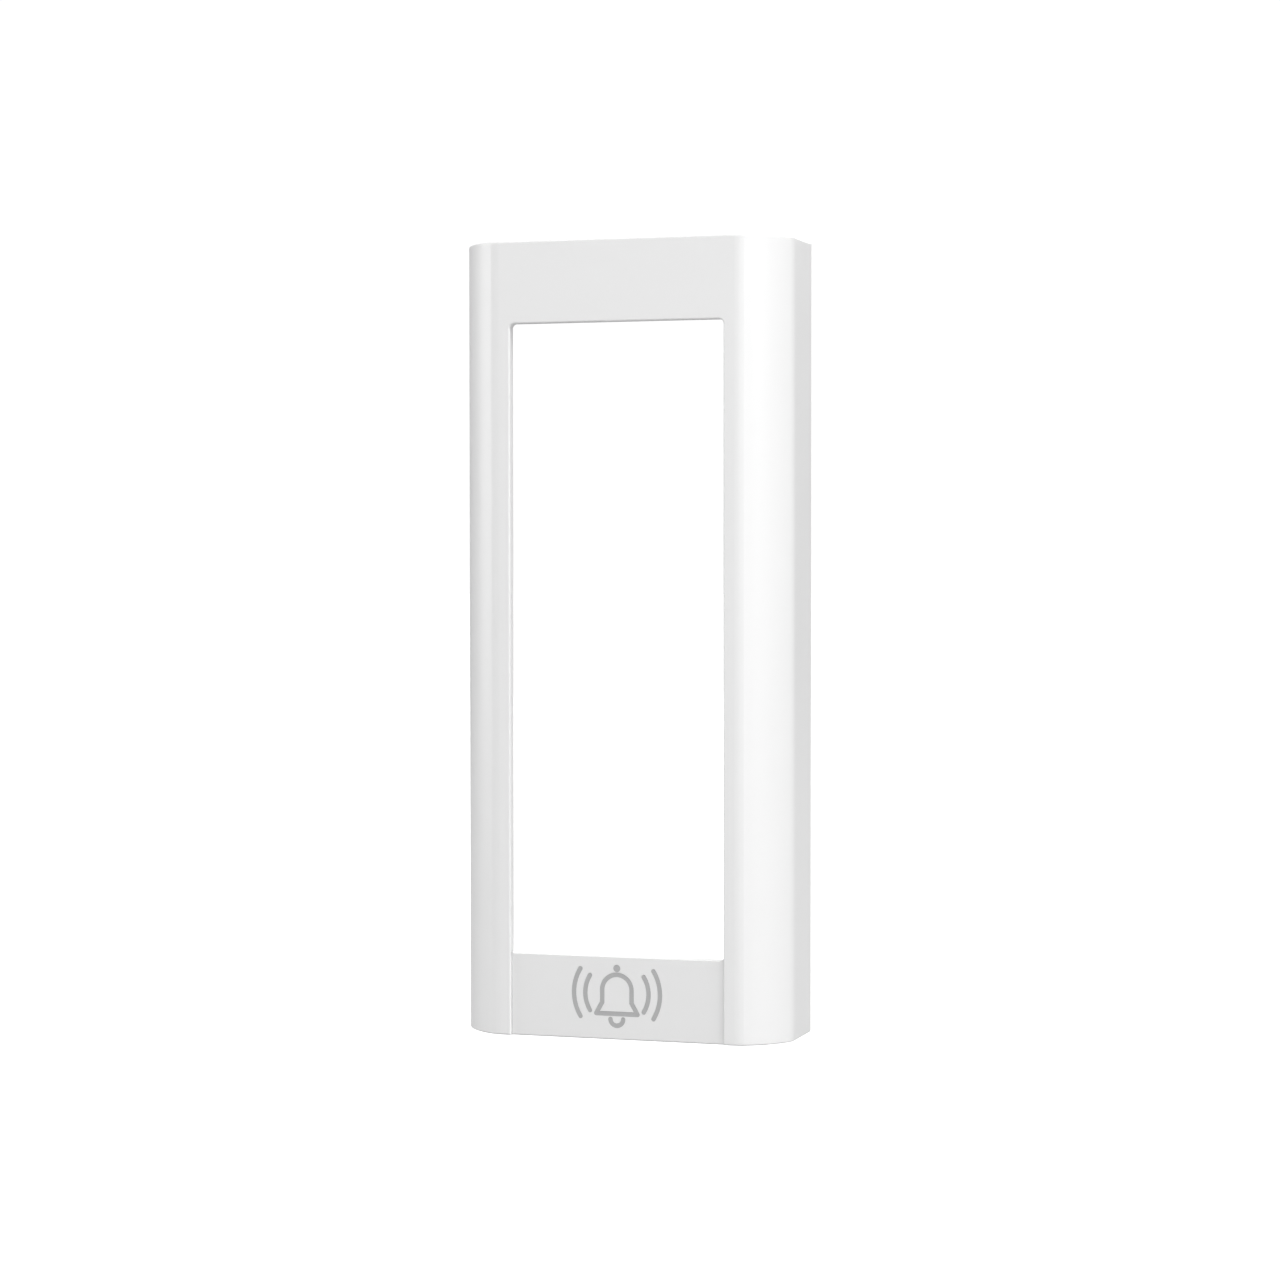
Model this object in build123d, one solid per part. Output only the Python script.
from build123d import *
import os
from math import cos, radians, sin

# Clip-on faceplate of a slim wired video doorbell: an open frame that goes over the doorbell body.
# Millimetres. X to the right and Y into the wall, as a visitor sees it, and Z up.
# The origin is the centre of the back rim's plane, so the flat front face lies at Y = -DEPTH.

# Cover
WIDTH = 49.0
HEIGHT = 114.0
DEPTH = 16.0
CORNER = 7.0            # each front corner takes this much of the front and of the side
SHOULDER_R = 3.2        # the corner bends tighter where it leaves the front and meets the side
SHOULDER_TURN = 25.0    # degrees turned at each shoulder, the rest on a larger radius between them
WALL = 1.4
EDGE_R = 0.25           # edge break on the ends and round the window
WINDOW_W = 31.8
WINDOW_H = 90.4
WINDOW_R = 0.65
PANEL_STEP = 0.45       # how far the badge panel lies behind the rails
SEAM = 0.05             # gap between the two mouldings
HOOK_X = 12.0           # two tabs under the top wall that hang on the doorbell body
HOOK_W = 6.0
HOOK_DROP = 2.2
HOOK_Y = (-6.0, -2.4)
GUIDE_RIBS_Z = (-20.0, 0.0, 20.0)
GUIDE_RIB_W = 1.2
GUIDE_RIB_H = 0.35
GUIDE_RIB_Y = (-8.0, -1.0)

# Inner frame
PLATE_T = 1.5
PLATE_SETBACK_X = 1.0   # the plate's edge stands back from the window, out of sight
PLATE_SETBACK_TOP = 1.5
PLATE_X = 19.5
FLANGE_X = 19.2
FLANGE_T = 1.0
FLANGE_Z = 46.0
FLANGE_END = 6.1        # depths behind the front face
LUG_END = 5.2
RIB_T = 0.9
RIB_H = 2.0
RIBS_X = (-15.0, -5.5, 5.5, 15.0)
RIBS_Z = ((-55.5, -49.4), (49.6, 55.5))

# Heat stakes that hold the inner frame in the cover
STAKE_R = 0.9
STAKE_HEAD_R = 1.3
STAKE_HEAD_T = 0.6
STAKE_CLEAR = 0.08
PLATE_STAKES = ((-10.0, 52.0), (10.0, 52.0), (-18.2, -51.8), (18.2, -51.8))
LUG_STAKE_X = 21.6
LUG_STAKE_Z = 15.0
LUG_HALF = 2.2

# Snap fingers
FINGER_Z = 34.0
FINGER_W = 9.0
FINGER_OUT = 22.2
FINGER_T = 1.1
FINGER_CHAMFER = 0.5
FINGER_ROOT_Y = -10.0
FINGER_TIP_Y = -1.6
NOSE_X = 20.45
NOSE_CATCH_Y = -4.3
NOSE_FLAT_Y = -3.1
ROOT_GAP = 0.1
BRACKET_W = 11.0

# Foam seal round the window
SEAL_W = 1.7
SEAL_T = 1.5
SEAL_R = 1.5
SEAL_IN_X = 17.4
SEAL_IN_Z = (-47.2, 47.4)

# Security screw, upright in the bottom wall with its head down
SCREW_Y = -6.5
SCREW_R = 1.5
SCREW_TIP_Z = -47.6
SCREW_CHAMFER = 0.3
SCREW_HEAD_R = 2.6
SCREW_HEAD_H = 1.5
SCREW_HOLE_CLEAR = 0.08
SCREW_TRAVEL = 2.4
TRAVEL_SPARE = 0.05
COUNTERBORE_R = 2.9
COUNTERBORE_DEPTH = 1.8
BOSS_R = 4.0
BOSS_H = 2.0
GROOVE_R = 1.2
RETAINER_R = 2.6
RETAINER_T = 0.5
RETAINER_CLEAR = 0.05
RETAINER_SLOT = 1.8
SOCKET_LOBES = 6
SOCKET_R = 0.85
SOCKET_LOBE_R = 0.3
SOCKET_DEPTH = 0.9
SOCKET_PIN_R = 0.35

# Emblem: a plain bell with two sound arcs on each side, inlaid in the badge panel
EMBLEM_Z = -50.8
EMBLEM_T = 0.3
EMBLEM_GAP = 0.02
STROKE = 0.6
BELL_HALF = 2.2
BELL_LIP_HALF = 3.1
BELL_SHOULDER_Z = 0.9
BELL_WAIST_Z = -0.9
BELL_LIP_Z = -2.5
KNOB_R = 0.5
KNOB_Z = 4.0
CLAPPER_R = 0.95
CLAPPER_Z = -3.25
ARC_CENTRE_Z = 0.4
ARC_HALF_ANGLE = 32.0
ARC_RADII = (4.75, 6.45)

# Worked out from the sizes above
HALF_W = WINDOW_W / 2
HALF_H = WINDOW_H / 2
END_Z = HEIGHT / 2
INNER_END_Z = END_Z - WALL
INNER_SIDE_X = WIDTH / 2 - WALL
FRONT_Y = -DEPTH
PANEL_Y = FRONT_Y + PANEL_STEP
PLATE_Y = (FRONT_Y + WALL, FRONT_Y + WALL + PLATE_T)
SCREW_SEAT_Z = COUNTERBORE_DEPTH - END_Z
BOSS_TOP_Z = BOSS_H - INNER_END_Z
RETAINER_Z = BOSS_TOP_Z + SCREW_TRAVEL + TRAVEL_SPARE
BEYOND = 1.0            # how far a cutting solid runs past what it cuts
SINK = 0.2              # how far an added feature sinks into its wall
NEAR = 0.01             # tolerance for picking edges by place


def block(x, y, z):
    """A box between two limits on each axis."""
    size = [high - low for low, high in (x, y, z)]
    middle = [(low + high) / 2 for low, high in (x, y, z)]
    return Pos(*middle) * Box(*size)


def on_side(side, x):
    """An X range moved to the side that a sign chooses."""
    return tuple(sorted(side * value for value in x))


def span(middle, width):
    """The two limits of a width about its middle."""
    return (middle - width / 2, middle + width / 2)


def upright(profile, z):
    """A profile seen from above, raised between two heights."""
    return extrude(Pos(0, 0, z[0]) * profile, z[1] - z[0])


def facing(profile, y):
    """A profile seen from the front, X and Z, extruded between two depths."""
    plane = Plane(origin=(0, y[0], 0), x_dir=(1, 0, 0), z_dir=(0, -1, 0))
    return extrude(plane * profile, y[0] - y[1])


def screw_bar(radius, z):
    """A round bar on the screw's axis between two heights."""
    return Pos(0, SCREW_Y, (z[0] + z[1]) / 2) * Cylinder(radius, z[1] - z[0])


def cover_profile(inset, back):
    """The cover's outline from above, with its walls moved inward, closed at Y = back."""
    sine = sin(radians(SHOULDER_TURN))
    cosine = cos(radians(SHOULDER_TURN))
    middle_r = (CORNER - SHOULDER_R * (1 + sine - cosine)) / (cosine - sine)
    bends = (
        (SHOULDER_R, SHOULDER_TURN),
        (middle_r, 90 - 2 * SHOULDER_TURN),
        (SHOULDER_R, SHOULDER_TURN),
    )
    front = FRONT_Y + inset
    outline = [Line((0, front), (WIDTH / 2 - CORNER, front))]
    for radius, turn in bends:
        last = outline[-1]
        outline.append(JernArc(last @ 1, last % 1, radius - inset, turn))
    outline.append(Polyline(outline[-1] @ 1, (WIDTH / 2 - inset, back), (0, back), (0, front)))
    half = make_face(outline)
    return half + mirror(half, Plane.YZ)


def inner_void(clear):
    """The hollow inside the cover, less a clearance, open to the back."""
    reach = INNER_END_Z - clear
    return upright(cover_profile(WALL + clear, BEYOND), (-reach, reach))


def stake_places():
    """Every heat stake as its X and Z and the Y of the face that its head holds."""
    places = [(x, z, PLATE_Y[1]) for x, z in PLATE_STAKES]
    for side in (-1, 1):
        for z in (-LUG_STAKE_Z, LUG_STAKE_Z):
            places.append((side * LUG_STAKE_X, z, FRONT_Y + LUG_END))
    return places


def heat_stake(x, z, seat):
    """A moulded post from the middle of the cover's wall, with its melted head on the seat."""
    post = facing(Pos(x, z) * Circle(STAKE_R), (FRONT_Y, seat + SINK))
    post &= upright(cover_profile(WALL / 2, BEYOND), (-END_Z, END_Z))
    head = facing(Pos(x, z) * Circle(STAKE_HEAD_R), (seat, seat + STAKE_HEAD_T))
    crown = head.edges().group_by(Axis.Y)[-1]
    return post + fillet(crown, STAKE_HEAD_T / 2)


def top_hook(x):
    """A ramped tab under the top wall, which hangs on the doorbell body's upper ledge."""
    front, back = HOOK_Y
    root = INNER_END_Z + SINK
    tip = INNER_END_Z - HOOK_DROP
    ramp = root - tip
    side_view = make_face(
        Polyline((front, root), (front + ramp, tip), (back, tip), (back, root), close=True)
    )
    plane = Plane(origin=(x, 0, 0), x_dir=(0, 1, 0), z_dir=(1, 0, 0))
    return extrude(plane * side_view, HOOK_W / 2, both=True)


def broken_edges(body):
    """The cover's outer edges: round both ends and round the front of the window."""
    at_ends = [e for e in body.edges() if abs(e.center().Z) > END_Z - NEAR]
    outer_ends = [e for e in at_ends if e.center().Y < -NEAR]
    outer_ends = [e for e in outer_ends if abs(e.center().X) > HALF_W + NEAR or e.center().Z > 0]
    on_front = [e for e in body.edges() if abs(e.center().Y - FRONT_Y) < NEAR]
    window = [e for e in on_front if abs(e.center().X) < HALF_W + NEAR]
    return outer_ends + [e for e in window if abs(e.center().Z) < END_Z - NEAR]


def outer_shell():
    """The white cover: two rails, the top band, and the side, top and bottom walls."""
    body = upright(cover_profile(0, 0), (-END_Z, END_Z))
    opening_z = (-END_Z - BEYOND, HALF_H)
    opening = Pos(0, sum(opening_z) / 2) * Rectangle(WINDOW_W, opening_z[1] - opening_z[0])
    opening = fillet(opening.vertices().group_by(Axis.Y)[-1], WINDOW_R)
    body -= facing(opening, (FRONT_Y - BEYOND, PLATE_Y[0]))
    body = fillet(broken_edges(body), EDGE_R)
    body -= inner_void(0)
    for place in stake_places():
        body += heat_stake(*place)
    for side in (-1, 1):
        body += top_hook(side * HOOK_X)
        rib_x = on_side(side, (INNER_SIDE_X - GUIDE_RIB_H, INNER_SIDE_X + SINK))
        for z in GUIDE_RIBS_Z:
            body += block(rib_x, GUIDE_RIB_Y, span(z, GUIDE_RIB_W))
    body += screw_bar(BOSS_R, (-INNER_END_Z - SINK, BOSS_TOP_Z))
    body -= screw_bar(COUNTERBORE_R, (-END_Z - BEYOND, SCREW_SEAT_Z))
    body -= screw_bar(SCREW_R + SCREW_HOLE_CLEAR, (-END_Z, BOSS_TOP_Z + BEYOND))
    return body


def frame_back():
    """The inner frame's plate, side flanges, finger brackets, lugs and ribs."""
    body = block((-PLATE_X, PLATE_X), PLATE_Y, (-END_Z, END_Z))
    hole_x = HALF_W + PLATE_SETBACK_X
    body -= block((-hole_x, hole_x), (FRONT_Y, 0), (-HALF_H, HALF_H + PLATE_SETBACK_TOP))
    for side in (-1, 1):
        flange = on_side(side, (FLANGE_X, FLANGE_X + FLANGE_T))
        body += block(flange, (FRONT_Y, FRONT_Y + FLANGE_END), (-FLANGE_Z, FLANGE_Z))
        bracket = on_side(side, (FLANGE_X, FINGER_OUT))
        for z in (-FINGER_Z, FINGER_Z):
            body += block(bracket, (FRONT_Y, FINGER_ROOT_Y - ROOT_GAP), span(z, BRACKET_W))
        lug = on_side(side, (FLANGE_X, INNER_SIDE_X))
        for z in (-LUG_STAKE_Z, LUG_STAKE_Z):
            body += block(lug, (FRONT_Y, FRONT_Y + LUG_END), span(z, 2 * LUG_HALF))
    for x in RIBS_X:
        for z in RIBS_Z:
            body += block(span(x, RIB_T), (PLATE_Y[0], PLATE_Y[1] + RIB_H), z)
    return body & inner_void(SEAM)


def badge_panel():
    """The panel's visible skin, with small webs that round the window's lower corners."""
    half = HALF_W - SEAM
    top = WINDOW_R - HALF_H
    outline = Pos(0, (top - END_Z) / 2) * Rectangle(2 * half, top + END_Z)
    outline -= RectangleRounded(WINDOW_W, WINDOW_H, WINDOW_R)
    skin = facing(outline, (PANEL_Y, PLATE_Y[0] - SEAM))
    lower_edges = skin.edges().filter_by(Axis.X).group_by(Axis.Z)[0]
    skin = fillet(lower_edges.sort_by(Axis.Y)[0], EDGE_R)
    root = block((-half, half), (PLATE_Y[0] - 2 * SEAM, PLATE_Y[1]), (SEAM - INNER_END_Z, -HALF_H))
    return skin + root


def inner_frame():
    """The second moulding, which carries the badge panel and the snap fingers."""
    body = frame_back() + badge_panel()
    for outline in emblem_outlines(STROKE + 2 * EMBLEM_GAP).values():
        body -= facing(outline, (PANEL_Y - BEYOND, PANEL_Y + EMBLEM_T))
    for x, z, seat in stake_places():
        body -= facing(Pos(x, z) * Circle(STAKE_R + STAKE_CLEAR), (FRONT_Y, seat + BEYOND))
    return body


def window_seal():
    """A foam strip round the window, stuck to the back of the inner frame."""
    height = SEAL_IN_Z[1] - SEAL_IN_Z[0]
    inner = RectangleRounded(2 * SEAL_IN_X, height, SEAL_R)
    outer = RectangleRounded(2 * (SEAL_IN_X + SEAL_W), height + 2 * SEAL_W, SEAL_R + SEAL_W)
    return facing(Pos(0, sum(SEAL_IN_Z) / 2) * (outer - inner), (PLATE_Y[1], PLATE_Y[1] + SEAL_T))


def snap_finger(side, z):
    """A springy beam with a nose that catches in the side of the doorbell body."""
    inner = FINGER_OUT - FINGER_T
    points = [
        (inner, FINGER_ROOT_Y),
        (FINGER_OUT, FINGER_ROOT_Y),
        (FINGER_OUT, FINGER_TIP_Y - FINGER_CHAMFER),
        (FINGER_OUT - FINGER_CHAMFER, FINGER_TIP_Y),
        (inner, FINGER_TIP_Y),
        (NOSE_X, NOSE_FLAT_Y),
        (NOSE_X, NOSE_CATCH_Y),
        (inner, NOSE_CATCH_Y),
    ]
    profile = make_face(Polyline(*[(side * x, y) for x, y in points], close=True))
    return upright(profile, span(z, FINGER_W))


def security_screw():
    """A captive machine screw with a six-lobe socket and a centre pin."""
    face = SCREW_SEAT_Z - SCREW_HEAD_H
    head = screw_bar(SCREW_HEAD_R, (face, SCREW_SEAT_Z))
    head = fillet(head.edges().group_by(Axis.Z)[0], SCREW_HEAD_H / 2)
    shank = screw_bar(SCREW_R, (SCREW_SEAT_Z - SINK, SCREW_TIP_Z))
    shank = chamfer(shank.edges().group_by(Axis.Z)[-1], SCREW_CHAMFER)
    groove = (RETAINER_Z - RETAINER_CLEAR, RETAINER_Z + RETAINER_T + RETAINER_CLEAR)
    shank -= screw_bar(SCREW_R + BEYOND, groove) - screw_bar(GROOVE_R, groove)
    socket = Circle(SOCKET_R) + PolarLocations(SOCKET_R, SOCKET_LOBES) * Circle(SOCKET_LOBE_R)
    socket = Pos(0, SCREW_Y) * (socket - Circle(SOCKET_PIN_R))
    return head + shank - upright(socket, (face - BEYOND, face + SOCKET_DEPTH))


def screw_retainer():
    """A snap ring in the screw's groove, which keeps the undone screw in its boss."""
    outline = Circle(RETAINER_R) - Circle(GROOVE_R + RETAINER_CLEAR)
    outline -= Pos(0, RETAINER_R) * Rectangle(RETAINER_SLOT, 2 * RETAINER_R)
    return upright(Pos(0, SCREW_Y) * outline, (RETAINER_Z, RETAINER_Z + RETAINER_T))


def ring_arc(radius, width, start, end):
    """A stroke of constant width along an arc, with round ends."""
    line = CenterArc((0, 0), radius, start, end - start)
    return trace(line, width) + [Pos(*line @ t) * Circle(width / 2) for t in (0, 1)]


def bell_outline(width):
    """A stroke round the shape of a bell."""
    left = [(-BELL_HALF, BELL_SHOULDER_Z), (-BELL_HALF, BELL_WAIST_Z), (-BELL_LIP_HALF, BELL_LIP_Z)]
    right = [(-x, z) for x, z in reversed(left)]
    crown = (0, BELL_SHOULDER_Z + BELL_HALF)
    bell = make_face([Polyline(*left, *right), ThreePointArc(left[0], crown, right[-1])])
    return offset(bell, width / 2) - offset(bell, -width / 2)


def emblem_outlines(width):
    """The emblem's pieces seen from the front, by node name, with strokes of a given width."""
    pieces = {
        "emblem_bell": bell_outline(width),
        "emblem_knob": Pos(0, KNOB_Z) * Circle(KNOB_R + (width - STROKE) / 2),
        "emblem_clapper": Pos(0, CLAPPER_Z) * ring_arc(CLAPPER_R, width, 180, 360),
    }
    for side, middle in (("left", 180), ("right", 0)):
        for name, radius in zip(("inner", "outer"), ARC_RADII):
            arc = ring_arc(radius, width, middle - ARC_HALF_ANGLE, middle + ARC_HALF_ANGLE)
            pieces[f"emblem_arc_{side}_{name}"] = Pos(0, ARC_CENTRE_Z) * arc
    return {name: Pos(0, EMBLEM_Z) * piece for name, piece in pieces.items()}


def all_nodes():
    """Every sub-part by node name."""
    nodes = {
        "outer_shell": outer_shell(),
        "inner_frame": inner_frame(),
        "window_seal": window_seal(),
        "security_screw": security_screw(),
        "screw_retainer": screw_retainer(),
    }
    for side, across in (("left", -1), ("right", 1)):
        for level, up in (("lower", -1), ("upper", 1)):
            nodes[f"snap_finger_{side}_{level}"] = snap_finger(across, up * FINGER_Z)
    for name, outline in emblem_outlines(STROKE).items():
        nodes[name] = facing(outline, (PANEL_Y, PANEL_Y + EMBLEM_T))
    return nodes


os.makedirs("parts", exist_ok=True)
for name, solid in all_nodes().items():
    export_step(solid, f"parts/{name}.step")
    print(name, round(solid.volume, 2), "mm3")
